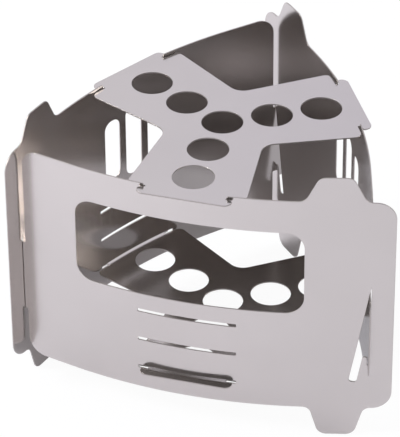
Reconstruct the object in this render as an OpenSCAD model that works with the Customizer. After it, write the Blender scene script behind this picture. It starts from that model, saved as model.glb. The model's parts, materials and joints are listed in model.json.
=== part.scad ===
// Twig stove: three bowed sides hooked together round two Y-shaped plates.
// Millimetres, Z up, feet on Z = 0, feed window towards -Y, origin in the middle
// of the overall box. The pieces are drawn round the stove's upright axis first.
// Heights named "above the lower edge" are measured from a side's lower edge.
// Places along a side are lengths on the flat sheet from the side's middle,
// counted towards the flap.

/* [Sheet] */
// Thickness of the sheet
sheet_t = 0.6; // [0.5:0.05:0.7]
// Gap left between pieces that pass one another
fit_gap = 0.3; // [0.25:0.05:0.4]

/* [Bow of a side] */
// Width of the body: twice the distance from its axis to the middle of a side's outer face
body_w = 114.6; // [110:0.2:124]
// Radius of the outer face in the curved middle
bow_radius = 222; // [200:2:250]
// Angle of the straight ends to the chord
end_angle = 14; // [13:0.5:15]

/* [Side] */
// Height of a side without its pot rest and its foot
side_h = 106.5; // [104:0.5:112]
// Radius of the corners at the hooked end
end_corner_r = 8; // [5:0.5:10]
// Gap between the hooked end and the flap it hooks into
end_gap = 1.4; // [0.4:0.1:2]
// Length of the flap past its slit
flap_len = 10.2; // [9.6:0.2:12]
// Radius of the corners of the flap
flap_corner_r = 8.4; // [5:0.2:8.6]

/* [Pot rest and foot] */
// Height of the pot rest above the upper edge
rest_h = 12; // [9:0.5:14]
// Width of the pot rest at its top
rest_w = 13.5; // [11:0.5:16]
// Widening of the pot rest on each flank
rest_splay = 5.8; // [4:0.2:7]
// Distance from the slit back to the middle of the pot rest
rest_back = 15; // [14.6:0.2:18]
// Height of the foot below the lower edge
foot_h = 14.5; // [11:0.5:17]
// Width of the foot at the ground
foot_w = 14.7; // [12:0.1:16]
// Widening of the foot on each flank
foot_splay = 4.1; // [3:0.1:5]
// Distance from the slit back to the middle of the foot
foot_back = 13.3; // [12.4:0.1:18]
// Radius of the outer corners of the pot rest
rest_tip_r = 4; // [2:0.1:5]
// Radius of the hollows beside the pot rest
rest_root_r = 4.6; // [1.5:0.1:5.4]
// Radius of the outer corners of the foot
foot_tip_r = 4.6; // [2:0.1:5]
// Radius of the hollows beside the foot
foot_root_r = 3.8; // [1.5:0.1:3.8]

/* [Feed window] */
// Width of the window on the flat sheet
window_w = 101.4; // [92:0.2:106]
// Height of the window
window_h = 41; // [36:0.5:46]
// Height of the sill above the lower edge
window_sill = 49.5; // [46.5:0.5:54]
// Radius of the corners of the window
window_r = 8; // [6:0.2:8.4]

/* [Air vents] */
// Width of a vent in the two sides without a window
vent_w = 9.4; // [7:0.2:12]
// Distance between vents
vent_pitch = 13; // [12.4:0.2:17.2]
// Height of the middle vent
vent_h = 36; // [32:0.5:42]
// Loss of height from one vent to the next outwards
vent_step = 5; // [0:0.5:8]

/* [Grate slots] */
// Height of a slot
slot_h = 1.6; // [1:0.1:2]
// Distance between slots
slot_pitch = 15; // [12:0.5:16.5]
// Height of the lower edge of the lowest slot above the lower edge
slot_low = 10; // [7:0.1:12]
// Play of the tab at each end of a slot
slot_play = 1.4; // [1.2:0.1:2.4]

/* [Hook] */
// Height of the neck's lower edge above the lower edge
neck_low = 23.2; // [21:0.2:26]
// Height of the neck
neck_h = 35; // [30:0.5:36]
// Reach of the hook past the slit
hook_len = 4.5; // [3.5:0.1:5.5]
// Drop of the hook below the neck
hook_drop = 3.2; // [2:0.1:4]
// Width of the slit
slit_w = 1.1; // [1:0.05:1.5]
// Height of the tooth above the foot of the slit
tooth_h = 4.2; // [3.5:0.1:6]
// Width of the slanted leg of the slot
leg_w = 3.3; // [2.6:0.1:3.6]
// Slant of that leg
leg_slant = 10; // [9.5:0.1:11]
// Height of the leg's lower end above the lower edge
leg_low = 13.8; // [11:0.1:15]

/* [Plates] */
// Diameter of the holes
hole_d = 18; // [14:0.2:19]
// Distance between holes
hole_pitch = 22; // [20:0.1:22.4]
// Width of an arm at its shoulders
arm_w = 52; // [48:0.5:54]
// Distance from the axis to the unrounded corner between two arms
notch_at = 24.8; // [23:0.1:27]
// Radius between two arms
notch_r = 7; // [4:0.2:9]
// Radius of the shoulders
shoulder_r = 3; // [2:0.1:4]
// Width of the tab at the end of an arm
tab_w = 41; // [38.6:0.2:42]
// Width of the neck of the tab
tab_neck_w = 35; // [32:0.2:36]
// Reach of the tab past the outer face of the side
tab_len = 3.9; // [2.8:0.1:5]
// Radius of the outer corners of the tab
tab_r = 3.2; // [1:0.1:3.4]
// Height of a side's upper edge above the top plate
rim_h = 1.5; // [1:0.1:3]

/* [Small corners] */
// Upper corners of the recess for the top plate
recess_r = 0.5; // [0.2:0.1:1]
// Corners of a grate slot
slot_r = 0.4; // [0.2:0.05:0.5]
// Hollows between the hooked end and the neck
neck_r = 0.6; // [0.3:0.1:1]
// Upper corner of the hook
hook_top_r = 2.4; // [1:0.1:3]
// Outer lower corner of the hook
hook_tip_r = 1.2; // [0.6:0.1:1.4]
// Inner lower corner of the hook
hook_nose_r = 0.8; // [0.4:0.1:1]
// Hollows at both ends of a tab's neck
tab_neck_r = 0.4; // [0.2:0.1:0.8]
// Inner corners of a tab
ear_r = 0.9; // [0.4:0.1:1]

/* [Hidden] */
$fn = 96;
steel = [0.78, 0.76, 0.77];
steel_shade = [0.66, 0.65, 0.66];
// how much larger than its radius the circle of a rounded corner is
arc_hair = 0.001;
// how far the bowed strip runs past the flap before the outline is cut from it
strip_past = 4;
// how far the inner form of that strip runs past the outer one
inner_past = 2;
// how far a corner's piece reaches past the corner, as a share of its radius
corner_past = 0.3;

// heights from the ground
low_z = foot_h;
up_z = low_z + side_h;
all_h = up_z + rest_h;
top_plate_z = up_z - rim_h - sheet_t;
grate_z = low_z + slot_low;

// bow: the sheet's middle layer carries the lengths on the flat sheet
apothem = body_w / 2;
layer_r = bow_radius - sheet_t / 2;
curve_x = layer_r * sin(end_angle);
curve_s = layer_r * end_angle * PI / 180;
layer_y = -apothem + sheet_t / 2;
curve_y = layer_y + layer_r * (1 - cos(end_angle));
// the straight ends of two neighbours meet on the line 30 degrees below X
corner_x = (curve_x * tan(end_angle) - curve_y) / (tan(end_angle) + tan(30));
slit_s = curve_s + (corner_x - curve_x) / cos(end_angle);

flap_s = slit_s + flap_len;
end_s = -(slit_s - sheet_t / 2 - end_gap);
hook_s = -(slit_s + hook_len);
hook_in_s = -(slit_s + sheet_t / 2 + 2 * fit_gap);
neck_z = low_z + neck_low;
neck_top_z = neck_z + neck_h;
tooth_z = neck_z - fit_gap / 2 + tooth_h;

flap_x = across(flap_s);
hook_x = across(hook_s);
end_x = across(end_s);

slot_len = tab_w + 2 * slot_play;
recess_w = tab_neck_w + 4 * fit_gap;

// plates: the shoulders stop short of the inner face of a side
inner_r = bow_radius - sheet_t;
inner_at = apothem - sheet_t;
press_at = arm_w / 2 - shoulder_r;
shoulder_at = inner_at - inner_r + sqrt(inner_r * inner_r - press_at * press_at) - fit_gap;
neck_half = tab_neck_w / 2;
outer_drop = bow_radius - sqrt(bow_radius * bow_radius - neck_half * neck_half);
ear_at = apothem - outer_drop + fit_gap;
tip_at = apothem + tab_len;
// a tab's corners are limited by the length of its side
tab_corner_r = min(tab_r, 0.75 * (tip_at - ear_at));
ear_corner_r = min(ear_r, 0.22 * (tip_at - ear_at));

// overall box in plan, round the stove's axis: the front flap and the front
// hook or the left flap bound it across, the right flap and a tab bound it along
flap_y = curve_y + (flap_x - curve_x) * tan(end_angle) - sheet_t / 2 / cos(end_angle);
left_flap_x = flap_y * sin(60) - flap_x * cos(60);
right_flap_y = flap_x * sin(60) - flap_y * cos(60);
box_mid = [(flap_x + min(hook_x, left_flap_x)) / 2, (right_flap_y - tip_at) / 2];

// place across the chord of a point s along the flat sheet
function across(s) = abs(s) < curve_s
    ? layer_r * sin(s / layer_r * 180 / PI)
    : sign(s) * (curve_x + (abs(s) - curve_s) * cos(end_angle));

// corner rounding: arms of a corner, distance to its tangent points, centre
function unit(v) = v / norm(v);
function before(p, i) = p[(i + len(p) - 1) % len(p)];
function after(p, i) = p[(i + 1) % len(p)];
function to_before(p, i) = unit(before(p, i) - p[i]);
function to_after(p, i) = unit(after(p, i) - p[i]);
function half_angle(p, i) = acos(to_before(p, i) * to_after(p, i)) / 2;
function setback(p, r, i) = r[i] / tan(half_angle(p, i));
function first_tangent(p, r, i) = p[i] + to_before(p, i) * setback(p, r, i);
function last_tangent(p, r, i) = p[i] + to_after(p, i) * setback(p, r, i);
function inward(p, i) = unit(to_before(p, i) + to_after(p, i));
function arc_centre(p, r, i) = p[i] + inward(p, i) * r[i] / sin(half_angle(p, i));
function is_convex(p, i) = cross(p[i] - before(p, i), after(p, i) - p[i]) > 0;

// piece between a corner's point and its arc, to cut off or to fill in; the
// arc's circle is a hair larger, so that it crosses both edges cleanly
module corner_piece(p, r, i) {
    a = first_tangent(p, r, i);
    b = last_tangent(p, r, i);
    beyond = -inward(p, i) * (setback(p, r, i) * cos(half_angle(p, i)) + corner_past * r[i]);
    difference() {
        polygon([a, b, b + beyond, a + beyond]);
        translate(arc_centre(p, r, i)) circle(r = r[i] + arc_hair);
    }
}

// outline through points p, counter-clockwise, its corners rounded by radii r
module rounded(p, r) {
    difference() {
        union() {
            polygon(p);
            for (i = [0 : len(p) - 1])
                if (r[i] > 0 && !is_convex(p, i)) corner_piece(p, r, i);
        }
        for (i = [0 : len(p) - 1])
            if (r[i] > 0 && is_convex(p, i)) corner_piece(p, r, i);
    }
}

module rounded_box(x0, z0, x1, z1, r) {
    rounded([[x0, z0], [x1, z0], [x1, z1], [x0, z1]], [r, r, r, r]);
}

// all that lies inside a bowed face of radius r whose middle is at -at on Y
module inside_bow(r, at, past) {
    reach = across(flap_s) + strip_past + past;
    point_y = -at + r - r / cos(end_angle);
    reach_y = point_y + reach * tan(end_angle);
    rounded([[0, point_y], [reach, reach_y], [reach, past], [-reach, past], [-reach, reach_y]],
            [r, 0, 0, 0, 0]);
}

// bowed strip of sheet for the front side, from the ground to the pot rest
module bowed_sheet() {
    linear_extrude(height = all_h)
        difference() {
            inside_bow(bow_radius, apothem, 0);
            inside_bow(bow_radius - sheet_t, apothem - sheet_t, inner_past);
        }
}

// stands a flat drawing (X across, Y up) upright through the front side
module through_side() {
    translate([0, -apothem / 3, 0]) rotate([90, 0, 0])
        linear_extrude(height = apothem) children();
}

// radius of a hollow beside a flank, limited by the straight edge next to it
function hollow_r(r, room, high, splay) =
    max(0, min(r, room * tan(90 - atan2(high, splay) / 2)));

// outline of a side: foot, flap, pot rest, recess for the plate, hook
module side_outline() {
    rest_x = across(slit_s - rest_back);
    foot_x = across(slit_s - foot_back);
    hook_in_x = across(hook_in_s);
    // the hollows end before the corners of the flap begin
    rest_room = flap_x - flap_corner_r - rest_x - rest_w / 2 - rest_splay;
    foot_room = flap_x - flap_corner_r - foot_x - foot_w / 2 - foot_splay;
    rest_hollow = hollow_r(rest_root_r, rest_room, rest_h, rest_splay);
    foot_hollow = hollow_r(foot_root_r, foot_room, foot_h, foot_splay);
    rounded([
        [end_x, low_z],
        [foot_x - foot_w / 2 - foot_splay, low_z],
        [foot_x - foot_w / 2, 0],
        [foot_x + foot_w / 2, 0],
        [foot_x + foot_w / 2 + foot_splay, low_z],
        [flap_x, low_z],
        [flap_x, up_z],
        [rest_x + rest_w / 2 + rest_splay, up_z],
        [rest_x + rest_w / 2, all_h],
        [rest_x - rest_w / 2, all_h],
        [rest_x - rest_w / 2 - rest_splay, up_z],
        [recess_w / 2, up_z],
        [recess_w / 2, top_plate_z],
        [-recess_w / 2, top_plate_z],
        [-recess_w / 2, up_z],
        [end_x, up_z],
        [end_x, neck_top_z],
        [hook_x, neck_top_z],
        [hook_x, neck_z - hook_drop],
        [hook_in_x, neck_z - hook_drop],
        [hook_in_x, neck_z],
        [end_x, neck_z]
    ], [
        end_corner_r, foot_hollow, foot_tip_r, foot_tip_r, foot_hollow, flap_corner_r,
        flap_corner_r, rest_hollow, rest_tip_r, rest_tip_r, rest_hollow, recess_r, 0, 0,
        recess_r, end_corner_r,
        neck_r, hook_top_r, hook_tip_r, hook_nose_r, 0, neck_r
    ]);
}

// slot in the flap: slanted leg to pass the hook, slit to hold the neck; the
// leg's outer flank clears the upper end of the neck
module flap_slot() {
    x = across(slit_s);
    lean = tan(leg_slant);
    foot_z = neck_z - fit_gap / 2;
    leg_z = low_z + leg_low;
    leg_left_z = leg_z + leg_w * sin(leg_slant);
    leg_left = x - sheet_t / 2 - fit_gap / 2 - (neck_top_z - leg_left_z) * lean;
    leg_right = leg_left + leg_w / cos(leg_slant);
    leg_r = 0.36 * leg_w;
    // tooth between the leg and the slit
    tooth_x = leg_right + (tooth_z - leg_z) * lean;
    tooth_w = x - slit_w / 2 - tooth_x;
    tooth_r = 0.4 * tooth_w;
    apex_z = leg_left_z + (x + slit_w / 2 - leg_left) / lean;
    rounded([
        [x + slit_w / 2, apex_z],
        [leg_left, leg_left_z],
        [leg_right, leg_z],
        [tooth_x, tooth_z],
        [x - slit_w / 2, tooth_z],
        [x - slit_w / 2, foot_z],
        [x + slit_w / 2, foot_z]
    ], [0, leg_r, leg_r, tooth_r, tooth_r, 0, 0]);
}

module grate_slots() {
    for (k = [0 : 2])
        translate([0, grate_z + k * slot_pitch])
            rounded_box(-slot_len / 2, 0, slot_len / 2, slot_h, slot_r);
}

module feed_window() {
    half = across(window_w / 2);
    sill = low_z + window_sill;
    rounded_box(-half, sill, half, sill + window_h, window_r);
}

// three upright round-ended vents, the middle one tallest
module air_vents() {
    middle_z = low_z + window_sill + window_h / 2;
    end_r = 0.45 * vent_w;
    for (k = [-1 : 1]) {
        high = vent_h - abs(k) * vent_step;
        x = across(k * vent_pitch);
        rounded_box(x - vent_w / 2, middle_z - high / 2, x + vent_w / 2, middle_z + high / 2,
                    end_r);
    }
}

// one side in the front place, with the openings all three sides share
module plain_side() {
    difference() {
        intersection() {
            bowed_sheet();
            through_side() side_outline();
        }
        through_side() grate_slots();
        through_side() flap_slot();
    }
}

module vented_side() {
    difference() {
        plain_side();
        through_side() air_vents();
    }
}

// corner between two arms and one arm towards -Y, counter-clockwise
arm_points = [
    [-notch_at * sin(60), -notch_at * cos(60)],
    [-arm_w / 2, -shoulder_at],
    [-neck_half, -shoulder_at],
    [-neck_half, -ear_at],
    [-tab_w / 2, -ear_at],
    [-tab_w / 2, -tip_at],
    [tab_w / 2, -tip_at],
    [tab_w / 2, -ear_at],
    [neck_half, -ear_at],
    [neck_half, -shoulder_at],
    [arm_w / 2, -shoulder_at]
];
arm_radii = [
    notch_r, shoulder_r, tab_neck_r, tab_neck_r, ear_corner_r, tab_corner_r,
    tab_corner_r, ear_corner_r, tab_neck_r, tab_neck_r, shoulder_r
];
function turned(p, a) = [p[0] * cos(a) - p[1] * sin(a), p[0] * sin(a) + p[1] * cos(a)];

// flat sheet large enough for a plate, cut to the plate's outline
module y_plate() {
    side = 3 * tip_at;
    difference() {
        intersection() {
            translate([-side / 2, -side / 2, 0]) cube([side, side, sheet_t]);
            translate([0, 0, -sheet_t]) linear_extrude(height = 3 * sheet_t)
                rounded([for (a = [0, 120, 240]) for (p = arm_points) turned(p, a)],
                        [for (a = [0, 120, 240]) each arm_radii]);
        }
        plate_hole(0, 0);
        for (a = [0, 120, 240])
            for (k = [1, 2]) plate_hole(a, k * hole_pitch);
    }
}

module plate_hole(a, at) {
    rotate([0, 0, a]) translate([0, -at, -sheet_t]) cylinder(d = hole_d, h = 3 * sheet_t);
}

// moves a piece from the stove's axis to its place round the origin
module placed() {
    translate([-box_mid[0], -box_mid[1], 0]) children();
}

module front_panel() {
    color(steel) placed()
        difference() {
            plain_side();
            through_side() feed_window();
        }
}

module left_panel() {
    color(steel) placed() rotate([0, 0, 240]) vented_side();
}

module right_panel() {
    color(steel) placed() rotate([0, 0, 120]) vented_side();
}

module top_plate() {
    color(steel) placed() translate([0, 0, top_plate_z]) y_plate();
}

module fire_grate() {
    color(steel_shade) placed() translate([0, 0, grate_z]) y_plate();
}

front_panel();
left_panel();
right_panel();
top_plate();
fire_grate();
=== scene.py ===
"""Looks of the twig stove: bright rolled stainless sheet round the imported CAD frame."""

import json
import math

import bpy
from mathutils import Matrix, Vector


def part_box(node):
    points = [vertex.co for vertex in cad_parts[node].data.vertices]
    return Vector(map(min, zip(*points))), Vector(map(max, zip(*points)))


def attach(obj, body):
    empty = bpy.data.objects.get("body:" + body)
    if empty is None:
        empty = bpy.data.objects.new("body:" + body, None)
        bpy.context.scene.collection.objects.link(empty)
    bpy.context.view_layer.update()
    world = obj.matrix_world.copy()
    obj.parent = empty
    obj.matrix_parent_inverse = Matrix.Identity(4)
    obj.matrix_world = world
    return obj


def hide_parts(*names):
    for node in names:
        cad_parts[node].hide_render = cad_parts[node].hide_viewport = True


bl_info = {
    "name": "Twig stove",
    "version": (1, 0, 0),
    "blender": (4, 5, 0),
    "location": "3D View > Sidebar > Twig stove",
    "description": "Sides and plates of a hooked-together stainless twig stove, with its studio",
    "category": "Object",
}

MM = 0.001
WHITE = (1, 1, 1, 1)

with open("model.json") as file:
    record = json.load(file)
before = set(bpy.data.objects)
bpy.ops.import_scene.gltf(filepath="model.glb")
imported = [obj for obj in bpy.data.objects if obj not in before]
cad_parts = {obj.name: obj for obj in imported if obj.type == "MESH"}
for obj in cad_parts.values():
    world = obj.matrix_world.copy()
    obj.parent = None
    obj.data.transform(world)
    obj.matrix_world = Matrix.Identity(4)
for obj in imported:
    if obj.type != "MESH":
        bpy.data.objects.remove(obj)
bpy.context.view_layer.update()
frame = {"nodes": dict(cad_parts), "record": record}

# the stove's upright axis stands in the middle of its three feet
FEET = [Vector(m["pos_m"]) for m in frame["record"]["mounts"] if m["name"].startswith("foot_")]
AXIS = sum(FEET, Vector()) / len(FEET)
# from the axis to the outer face in the middle of a side
APOTHEM = AXIS.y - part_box("front_panel")[0].y
TOP_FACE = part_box("top_plate")[1].z

# CAD node, finished piece, degrees turned about the axis
SIDES = (
    ("front_panel", "front_side", 0),
    ("right_panel", "right_side", 120),
    ("left_panel", "left_side", 240),
)
# CAD node, finished piece, body that carries it
PLATES = (
    ("top_plate", "pot_plate", "top_plate"),
    ("fire_grate", "grate_plate", "stove"),
)

# points of a CAD mesh that are this close together become one
WELD = 0.002 * MM
# a cut between two strips takes in points that are this close to it
CUT_SNAP = 0.004 * MM
# faces that turn less than this from one to the next become one
FLAT_SIDE = math.radians(0.9)
FLAT_PLATE = math.radians(0.5)
# edges that turn more than this are rounded
ROUNDED_TURN = math.radians(55)
ROUNDING_STEPS = 2
# edges that turn more than this look sharp
SHARP_TURN = math.radians(50)
# at 100 the large faces lead the shading, at 50 all faces count by their size
LARGE_FACES_LEAD = 100
# a face is rolled, not cut, if its normal lies this much along the sheet's own
ROLLED_SHARE = 0.4

# lowest and highest roughness of the rolled faces and of the cut edges
FACE_ROUGHNESS = (0.17, 0.21)
EDGE_ROUGHNESS = (0.42, 0.55)
# how far the mirrored picture is blurred more one way than the other
ANISOTROPY = 0.6
# length of a rolling line, in spacings of the lines
LINE_LENGTH = 80
# height of a rolling line, and the share of it that the shading shows
LINE_HEIGHT = 0.004 * MM
LINE_RELIEF = 0.2
# spacing and height of a cut edge's mottle, and the share that the shading shows
MOTTLE_SPACING = 0.4 * MM
MOTTLE_HEIGHT = 0.02 * MM
MOTTLE_RELIEF = 0.3
# a noise keeps mostly between these values
NOISE_RANGE = (0.3, 0.7)
# sockets of a colour mix, whose names it shares with the other kinds of mix
MIX_FIRST = 6
MIX_SECOND = 7
MIX_RESULT = 2

# the softboxes stand across the stove, in metres
KEY_PLACE = (-1.06, -0.5, 0.85)
RIM_PLACE = (1.02, 0.59, 0.85)
# degrees round the stove from straight in front, counted towards the right, and
# the shade of the studio's wall there as the steel mirrors it
WALLS = (
    (-180, "#d4d4e2"),
    (-165, "#f2f2ff"),
    (-150, "#ffffff"),
    (-120, "#a0a0a4"),
    (-90, "#98989c"),
    (-60, "#c8c8cc"),
    (-30, "#7c7c80"),
    (0, "#606064"),
    (30, "#7c7c80"),
    (60, "#b8b8bc"),
    (90, "#828286"),
    (120, "#f0f0f4"),
    (150, "#c0c0c8"),
    (180, "#d4d4e2"),
)

# width of the camera's sensor in millimetres
SENSOR_WIDTH = 36
# width of the picture and focal length of the fitted camera, in pixels
PICTURE_WIDTH = 400
FOCAL_LENGTH = 3213.7
NEAREST_SEEN = 10 * MM


def linear(code):
    """An sRGB hex colour as linear red, green and blue."""
    parts = [int(code[i : i + 2], 16) / 255 for i in (1, 3, 5)]
    return tuple(c / 12.92 if c <= 0.04045 else ((c + 0.055) / 1.055) ** 2.4 for c in parts)


class SheetSettings(bpy.types.PropertyGroup):
    """Sizes and colours of the stainless sheet."""

    bow_radius: bpy.props.FloatProperty(
        name="Bow radius",
        description="Radius of a side's outer face in its curved middle",
        default=222 * MM,
        unit="LENGTH",
    )
    end_angle: bpy.props.FloatProperty(
        name="End angle",
        description="Angle of a side's straight ends to its chord",
        default=math.radians(14),
        subtype="ANGLE",
    )
    thickness: bpy.props.FloatProperty(
        name="Thickness",
        description="Thickness of the sheet",
        default=0.6 * MM,
        unit="LENGTH",
    )
    strip: bpy.props.FloatProperty(
        name="Strip",
        description="Width of the strips that make up a bowed face",
        default=2.5 * MM,
        unit="LENGTH",
    )
    deburr: bpy.props.FloatProperty(
        name="Deburr",
        description="Width of the rounding along every cut edge",
        default=0.09 * MM,
        unit="LENGTH",
    )
    shortest: bpy.props.FloatProperty(
        name="Shortest edge",
        description="Edges shorter than this are merged before the cut edges are rounded",
        default=0.15 * MM,
        unit="LENGTH",
    )
    face_light: bpy.props.FloatVectorProperty(
        name="Face, light",
        description="Colour of the rolled face in its lighter patches",
        default=linear("#c4beba"),
        subtype="COLOR",
        min=0,
        max=1,
    )
    face_dark: bpy.props.FloatVectorProperty(
        name="Face, dark",
        description="Colour of the rolled face in its darker patches",
        default=linear("#bdb7b3"),
        subtype="COLOR",
        min=0,
        max=1,
    )
    edge_colour: bpy.props.FloatVectorProperty(
        name="Cut edge",
        description="Colour of the cut edges",
        default=linear("#aaa39f"),
        subtype="COLOR",
        min=0,
        max=1,
    )
    grain: bpy.props.FloatProperty(
        name="Rolling grain",
        description="Spacing of the rolling lines",
        default=0.5 * MM,
        unit="LENGTH",
    )
    patch: bpy.props.FloatProperty(
        name="Patches",
        description="Size of the cloudy patches in the rolled face",
        default=30 * MM,
        unit="LENGTH",
    )


class StudioSettings(bpy.types.PropertyGroup):
    """Sizes and colours of the studio and the place of the camera."""

    floor_size: bpy.props.FloatProperty(
        name="Floor size",
        description="Width of the floor",
        default=8.0,
        unit="LENGTH",
    )
    floor_colour: bpy.props.FloatVectorProperty(
        name="Floor",
        description="Colour of the floor",
        default=linear("#f0f0fa"),
        subtype="COLOR",
        min=0,
        max=1,
    )
    white_seen: bpy.props.FloatProperty(
        name="White, seen",
        description="Share of plain white in the floor where the camera sees it",
        default=0.95,
        subtype="FACTOR",
        min=0,
        max=1,
    )
    white_mirrored: bpy.props.FloatProperty(
        name="White, mirrored",
        description="Share of plain white in the floor where the steel mirrors it",
        default=0.11,
        subtype="FACTOR",
        min=0,
        max=1,
    )
    fill: bpy.props.FloatProperty(
        name="Fill",
        description="Strength of the even light from all round",
        default=0.73,
        min=0,
        soft_max=2,
    )
    walls: bpy.props.FloatProperty(
        name="Walls",
        description="Strength of the studio's walls as the steel mirrors them",
        default=1.14,
        min=0,
        soft_max=2,
    )
    softbox_width: bpy.props.FloatProperty(
        name="Softbox width",
        description="Width of both round softboxes",
        default=0.45,
        unit="LENGTH",
    )
    key_power: bpy.props.FloatProperty(
        name="Key power",
        description="Power of the softbox in front on the left",
        default=18.2,
        unit="POWER",
    )
    rim_power: bpy.props.FloatProperty(
        name="Rim power",
        description="Power of the softbox behind on the right",
        default=2.05,
        unit="POWER",
    )
    azimuth: bpy.props.FloatProperty(
        name="Azimuth",
        description="Turn of the camera round the stove, from straight in front",
        default=math.radians(16.509),
        subtype="ANGLE",
    )
    elevation: bpy.props.FloatProperty(
        name="Elevation",
        description="Height angle of the camera",
        default=math.radians(34.519),
        subtype="ANGLE",
    )
    roll: bpy.props.FloatProperty(
        name="Roll",
        description="Tilt of the camera about its line of sight",
        default=math.radians(-0.453),
        subtype="ANGLE",
    )
    distance: bpy.props.FloatProperty(
        name="Distance",
        description="Distance of the camera from the top plate's middle, along its line of sight",
        default=1376.6 * MM,
        unit="LENGTH",
    )
    aside: bpy.props.FloatProperty(
        name="Aside",
        description="How far the top plate's middle lies right of the image's middle",
        default=9.565 * MM,
        unit="LENGTH",
    )
    above: bpy.props.FloatProperty(
        name="Above",
        description="How far the top plate's middle lies above the image's middle",
        default=41.323 * MM,
        unit="LENGTH",
    )
    lens: bpy.props.FloatProperty(
        name="Lens",
        description="Focal length on the camera's sensor",
        default=FOCAL_LENGTH * SENSOR_WIDTH / PICTURE_WIDTH,
        subtype="DISTANCE_CAMERA",
    )


def add_node(tree, kind, values=None, links=None, **settings):
    """Adds a node with its settings, its socket values and its incoming links."""
    made = tree.nodes.new(kind)
    for name, value in settings.items():
        setattr(made, name, value)
    for socket, value in (values or {}).items():
        made.inputs[socket].default_value = value
    for socket, source in (links or {}).items():
        tree.links.new(source, made.inputs[socket])
    return made


def empty_tree(owner):
    """The node tree of a material or a world, with no node in it."""
    owner.use_nodes = True
    owner.node_tree.nodes.clear()
    return owner.node_tree


def mix(tree, share, first, second):
    """Mixes two shaders: at share 0 only the first shows, at 1 only the second."""
    mixed = add_node(tree, "ShaderNodeMixShader", links={0: share, 1: first, 2: second})
    return mixed.outputs["Shader"]


def roughness(tree, noise, limits):
    """Roughness that follows a noise between two limits."""
    rough = add_node(
        tree,
        "ShaderNodeMapRange",
        {
            "From Min": NOISE_RANGE[0],
            "From Max": NOISE_RANGE[1],
            "To Min": limits[0],
            "To Max": limits[1],
        },
        {"Value": noise},
    )
    return rough.outputs["Result"]


def rolled_stainless(settings, name, lines_along, blur_round):
    """Cold-rolled stainless sheet, as it leaves the mill: a half mirror whose
    reflections are soft at the edges, with faint lines along the rolling
    direction and cloudy patches a little lighter or darker."""
    material = bpy.data.materials.new(name)
    tree = empty_tree(material)
    place = add_node(tree, "ShaderNodeTexCoord").outputs["Object"]
    # real rolling lines are far finer: they are drawn this coarse so that they show
    across = 1 / settings.grain
    along = 1 / (LINE_LENGTH * settings.grain)
    scale = [along if is_along else across for is_along in lines_along]
    stretched = add_node(tree, "ShaderNodeMapping", {"Scale": scale}, {"Vector": place})
    lines = add_node(
        tree,
        "ShaderNodeTexNoise",
        {"Scale": 1.0, "Detail": 2.0, "Roughness": 0.6},
        {"Vector": stretched.outputs["Vector"]},
    ).outputs["Fac"]
    patches = add_node(
        tree,
        "ShaderNodeTexNoise",
        {"Scale": 1 / settings.patch, "Detail": 3.0},
        {"Vector": place},
    ).outputs["Fac"]
    tone = add_node(
        tree,
        "ShaderNodeMix",
        {MIX_FIRST: (*settings.face_dark, 1), MIX_SECOND: (*settings.face_light, 1)},
        {"Factor": patches},
        data_type="RGBA",
    )
    ridges = add_node(
        tree,
        "ShaderNodeBump",
        {"Strength": LINE_RELIEF, "Distance": LINE_HEIGHT},
        {"Height": lines},
    )
    blur = add_node(tree, "ShaderNodeTangent", direction_type="RADIAL", axis=blur_round)
    steel = add_node(
        tree,
        "ShaderNodeBsdfPrincipled",
        {"Metallic": 1.0, "Anisotropic": ANISOTROPY},
        {
            "Base Color": tone.outputs[MIX_RESULT],
            "Roughness": roughness(tree, lines, FACE_ROUGHNESS),
            "Normal": ridges.outputs["Normal"],
            "Tangent": blur.outputs["Tangent"],
        },
    )
    add_node(tree, "ShaderNodeOutputMaterial", links={"Surface": steel.outputs["BSDF"]})
    return material


def cut_edge(settings):
    """Sheared and deburred stainless edge: bare metal, duller than the face and
    finely mottled."""
    material = bpy.data.materials.new("sheared_stainless_edge")
    tree = empty_tree(material)
    place = add_node(tree, "ShaderNodeTexCoord").outputs["Object"]
    mottle = add_node(
        tree,
        "ShaderNodeTexNoise",
        {"Scale": 1 / MOTTLE_SPACING, "Detail": 2.0},
        {"Vector": place},
    ).outputs["Fac"]
    ridges = add_node(
        tree,
        "ShaderNodeBump",
        {"Strength": MOTTLE_RELIEF, "Distance": MOTTLE_HEIGHT},
        {"Height": mottle},
    )
    steel = add_node(
        tree,
        "ShaderNodeBsdfPrincipled",
        {"Metallic": 1.0, "Base Color": (*settings.edge_colour, 1)},
        {
            "Roughness": roughness(tree, mottle, EDGE_ROUGHNESS),
            "Normal": ridges.outputs["Normal"],
        },
    )
    add_node(tree, "ShaderNodeOutputMaterial", links={"Surface": steel.outputs["BSDF"]})
    return material


def start_piece(node, name):
    """Copies a CAD node's mesh into a new piece, merged and open for editing."""
    bpy.ops.object.select_all(action="DESELECT")
    piece = bpy.data.objects.new(name, frame["nodes"][node].data.copy())
    bpy.context.scene.collection.objects.link(piece)
    piece.data.name = name
    piece.select_set(True)
    bpy.context.view_layer.objects.active = piece
    bpy.ops.mesh.customdata_custom_splitnormals_clear()
    bpy.ops.object.mode_set(mode="EDIT")
    bpy.ops.mesh.select_all(action="SELECT")
    bpy.ops.mesh.remove_doubles(threshold=WELD)
    return piece


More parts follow.
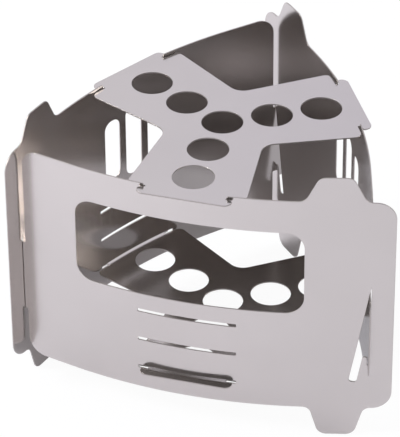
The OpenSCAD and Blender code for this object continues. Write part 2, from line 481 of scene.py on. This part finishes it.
def finish_piece(piece, node, body, settings, materials, faces_out):
    """Closes a piece that is open for editing: rounds its cut edges, smooths the
    shading, gives it its two materials and puts it on its body."""
    # edges too short to be rounded go first
    bpy.ops.mesh.select_all(action="SELECT")
    bpy.ops.mesh.remove_doubles(threshold=settings.shortest)
    bpy.ops.object.mode_set(mode="OBJECT")
    bevel = piece.modifiers.new("deburr", "BEVEL")
    bevel.width = settings.deburr
    bevel.segments = ROUNDING_STEPS
    # one tiny edge must not shrink the rounding everywhere else
    bevel.use_clamp_overlap = False
    bevel.miter_outer = "MITER_ARC"
    bevel.spread = settings.deburr / 2
    bevel.limit_method = "ANGLE"
    bevel.angle_limit = ROUNDED_TURN
    bpy.ops.object.modifier_apply(modifier=bevel.name)
    bpy.ops.object.shade_smooth_by_angle(angle=SHARP_TURN)
    shading = piece.modifiers.new("even_shading", "WEIGHTED_NORMAL")
    shading.keep_sharp = True
    shading.weight = LARGE_FACES_LEAD
    bpy.ops.object.modifier_apply(modifier=shading.name)
    piece.data.materials.clear()
    for material in materials:
        piece.data.materials.append(material)
    for face in piece.data.polygons:
        rolled = abs(face.normal.dot(faces_out(face.center))) > ROLLED_SHARE
        face.material_index = 0 if rolled else 1
    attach(piece, body)
    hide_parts(node)


class STOVE_OT_sides(bpy.types.Operator):
    """Makes the three bowed sides from their CAD solids: the bow is cut into
    even strips that lie on its true curve, and the cut edges are rounded"""

    bl_idname = "stove.sides"
    bl_label = "Bowed sides"
    bl_options = {"REGISTER", "UNDO"}

    def execute(self, context):
        settings = context.scene.stove_sheet
        face = rolled_stainless(settings, "cold_rolled_stainless_sides", (False, False, True), "Z")
        edge = cut_edge(settings)
        # centre of the front's curve, counted from the stove's axis
        curve_centre = Vector((0, settings.bow_radius - APOTHEM, 0))
        for node, name, turn in SIDES:
            piece = start_piece(node, name)
            turned = Matrix.Rotation(math.radians(turn), 3, "Z")
            self.cut_strips(turned, settings)
            bpy.ops.object.mode_set(mode="OBJECT")
            self.lay_on_bow(piece.data, turned, curve_centre, settings)
            bpy.ops.object.mode_set(mode="EDIT")
            bpy.ops.mesh.select_all(action="SELECT")
            bpy.ops.mesh.dissolve_limited(angle_limit=FLAT_SIDE, delimit={"SEAM"})
            bpy.ops.mesh.select_all(action="SELECT")
            bpy.ops.mesh.mark_seam(clear=True)
            centre = AXIS + turned @ curve_centre

            def out(place):
                away = place - centre
                away.z = 0
                return away.normalized()

            finish_piece(piece, node, "stove", settings, (face, edge), out)
        return {"FINISHED"}

    def cut_strips(self, turned, settings):
        """Cuts the open piece into strips along its curved middle, with a seam at each cut."""
        count = math.ceil(2 * settings.end_angle * settings.bow_radius / settings.strip)
        for i in range(count + 1):
            angle = settings.end_angle * (2 * i / count - 1)
            x = (settings.bow_radius - settings.thickness / 2) * math.sin(angle)
            bpy.ops.mesh.select_all(action="SELECT")
            bpy.ops.mesh.bisect(
                plane_co=AXIS + turned @ Vector((x, 0, 0)),
                plane_no=turned @ Vector((1, 0, 0)),
                threshold=CUT_SNAP,
            )
            bpy.ops.mesh.mark_seam()

    def lay_on_bow(self, mesh, turned, curve_centre, settings):
        """Moves the points of the curved middle onto the true bow."""
        back = turned.transposed()
        inner = settings.bow_radius - settings.thickness
        for vertex in mesh.vertices:
            local = back @ (vertex.co - AXIS)
            away = Vector((local.x, local.y - curve_centre.y, 0))
            if abs(math.atan2(local.x, -away.y)) > settings.end_angle:
                continue
            outside = away.length > inner + settings.thickness / 2
            away = away.normalized() * (settings.bow_radius if outside else inner)
            laid = Vector((away.x, curve_centre.y + away.y, local.z))
            vertex.co = AXIS + turned @ laid


class STOVE_OT_plates(bpy.types.Operator):
    """Makes the pot plate and the fire grate from their CAD solids, with
    rounded cut edges"""

    bl_idname = "stove.plates"
    bl_label = "Flat plates"
    bl_options = {"REGISTER", "UNDO"}

    def execute(self, context):
        settings = context.scene.stove_sheet
        face = rolled_stainless(settings, "cold_rolled_stainless_plates", (True, False, True), "X")
        edge = cut_edge(settings)
        up = Vector((0, 0, 1))
        for node, name, body in PLATES:
            piece = start_piece(node, name)
            bpy.ops.mesh.dissolve_limited(angle_limit=FLAT_PLATE)
            finish_piece(piece, node, body, settings, (face, edge), lambda place: up)
        return {"FINISHED"}


class STOVE_OT_studio(bpy.types.Operator):
    """Sets up the pale floor, the soft light and the camera"""

    bl_idname = "stove.studio"
    bl_label = "Studio"
    bl_options = {"REGISTER", "UNDO"}

    def execute(self, context):
        settings = context.scene.stove_studio
        self.floor(settings)
        self.light(context.scene, settings)
        self.camera(context.scene, settings)
        context.scene.view_settings.view_transform = "Standard"
        return {"FINISHED"}

    def floor(self, settings):
        """Pale paper, nearly plain white where the camera sees it."""
        bpy.ops.object.select_all(action="DESELECT")
        bpy.ops.mesh.primitive_plane_add(size=settings.floor_size, location=(0, 0, 0))
        floor = bpy.context.object
        floor.name = "studio_floor"
        material = bpy.data.materials.new("white_paper_sweep")
        tree = empty_tree(material)
        paper = add_node(
            tree,
            "ShaderNodeBsdfDiffuse",
            {"Color": (*settings.floor_colour, 1)},
        )
        seen = add_node(tree, "ShaderNodeLightPath")
        mirrored = add_node(
            tree,
            "ShaderNodeMath",
            {1: settings.white_mirrored},
            {0: seen.outputs["Is Glossy Ray"]},
            operation="MULTIPLY",
        )
        share = add_node(
            tree,
            "ShaderNodeMath",
            {1: settings.white_seen},
            {0: seen.outputs["Is Camera Ray"], 2: mirrored.outputs[0]},
            operation="MULTIPLY_ADD",
        )
        white = add_node(tree, "ShaderNodeEmission", {"Color": WHITE, "Strength": 1.0})
        mixed = mix(tree, share.outputs[0], paper.outputs["BSDF"], white.outputs["Emission"])
        add_node(tree, "ShaderNodeOutputMaterial", links={"Surface": mixed})
        floor.data.materials.append(material)

    def softbox(self, name, place, width, power):
        """A round area light that faces the stove."""
        bpy.ops.object.select_all(action="DESELECT")
        bpy.ops.object.light_add(type="AREA", location=place)
        lamp = bpy.context.object
        lamp.name = name
        lamp.data.shape = "DISK"
        lamp.data.size = width
        lamp.data.energy = power
        lamp.rotation_euler = (AXIS - lamp.location).to_track_quat("-Z", "Y").to_euler()

    def light(self, scene, settings):
        """Two softboxes across the stove, in a studio with walls of several shades."""
        self.softbox("key", KEY_PLACE, settings.softbox_width, settings.key_power)
        self.softbox("rim", RIM_PLACE, settings.softbox_width, settings.rim_power)
        world = bpy.data.worlds.new("studio")
        tree = empty_tree(world)
        looking = add_node(tree, "ShaderNodeTexCoord").outputs["Generated"]
        # straight in front lies in the middle of the ramp
        from_front = add_node(
            tree,
            "ShaderNodeMapping",
            {"Rotation": (0, 0, math.radians(90))},
            {"Vector": looking},
        )
        round_about = add_node(
            tree,
            "ShaderNodeTexGradient",
            links={"Vector": from_front.outputs["Vector"]},
            gradient_type="RADIAL",
        )
        shades = add_node(tree, "ShaderNodeValToRGB", links={"Fac": round_about.outputs["Fac"]})
        stops = shades.color_ramp.elements
        for degrees, shade in WALLS[1:-1]:
            stops.new(0.5 + degrees / 360)
        for stop, (degrees, shade) in zip(stops, WALLS):
            stop.position = 0.5 + degrees / 360
            stop.color = (*linear(shade), 1)
        walls = add_node(
            tree,
            "ShaderNodeBackground",
            {"Strength": settings.walls},
            {"Color": shades.outputs["Color"]},
        ).outputs["Background"]
        even = add_node(
            tree,
            "ShaderNodeBackground",
            {"Color": WHITE, "Strength": settings.fill},
        ).outputs["Background"]
        white = add_node(
            tree,
            "ShaderNodeBackground",
            {"Color": WHITE, "Strength": 1.0},
        ).outputs["Background"]
        seen = add_node(tree, "ShaderNodeLightPath").outputs
        around = mix(tree, seen["Is Glossy Ray"], even, walls)
        around = mix(tree, seen["Is Camera Ray"], around, white)
        add_node(tree, "ShaderNodeOutputWorld", links={"Surface": around})
        scene.world = world

    def camera(self, scene, settings):
        """The camera that was fitted to the photo."""
        turn = settings.azimuth
        rise = settings.elevation
        roll = settings.roll
        level = Vector((math.cos(turn), math.sin(turn), 0))
        outward = Vector((math.sin(turn), -math.cos(turn), 0))
        back = outward * math.cos(rise) + Vector((0, 0, math.sin(rise)))
        upright = back.cross(level)
        right = level * math.cos(roll) + upright * math.sin(roll)
        up = upright * math.cos(roll) - level * math.sin(roll)
        aim = Vector((AXIS.x, AXIS.y, TOP_FACE))
        data = bpy.data.cameras.new("camera")
        data.sensor_fit = "HORIZONTAL"
        data.sensor_width = SENSOR_WIDTH
        data.lens = settings.lens
        data.clip_start = NEAREST_SEEN
        camera = bpy.data.objects.new("camera", data)
        scene.collection.objects.link(camera)
        place = Matrix((right, up, back)).transposed().to_4x4()
        place.translation = (
            aim - right * settings.aside - up * settings.above + back * settings.distance
        )
        camera.matrix_world = place
        scene.camera = camera


class STOVE_PT_panel(bpy.types.Panel):
    """Lists the stove's pieces and settings in the sidebar"""

    bl_idname = "STOVE_PT_panel"
    bl_label = "Twig stove"
    bl_space_type = "VIEW_3D"
    bl_region_type = "UI"
    bl_category = "Twig stove"

    def draw(self, context):
        column = self.layout.column()
        for operator in (STOVE_OT_sides, STOVE_OT_plates, STOVE_OT_studio):
            column.operator(operator.bl_idname)
        for settings in (context.scene.stove_sheet, context.scene.stove_studio):
            for name in settings.__annotations__:
                column.prop(settings, name)


CLASSES = (
    SheetSettings,
    StudioSettings,
    STOVE_OT_sides,
    STOVE_OT_plates,
    STOVE_OT_studio,
    STOVE_PT_panel,
)


def register():
    for cls in CLASSES:
        bpy.utils.register_class(cls)
    bpy.types.Scene.stove_sheet = bpy.props.PointerProperty(type=SheetSettings)
    bpy.types.Scene.stove_studio = bpy.props.PointerProperty(type=StudioSettings)


def unregister():
    del bpy.types.Scene.stove_studio
    del bpy.types.Scene.stove_sheet
    for cls in reversed(CLASSES):
        bpy.utils.unregister_class(cls)


def main():
    register()
    bpy.ops.stove.sides()
    bpy.ops.stove.plates()
    bpy.ops.stove.studio()


if __name__ == "__main__":
    main()
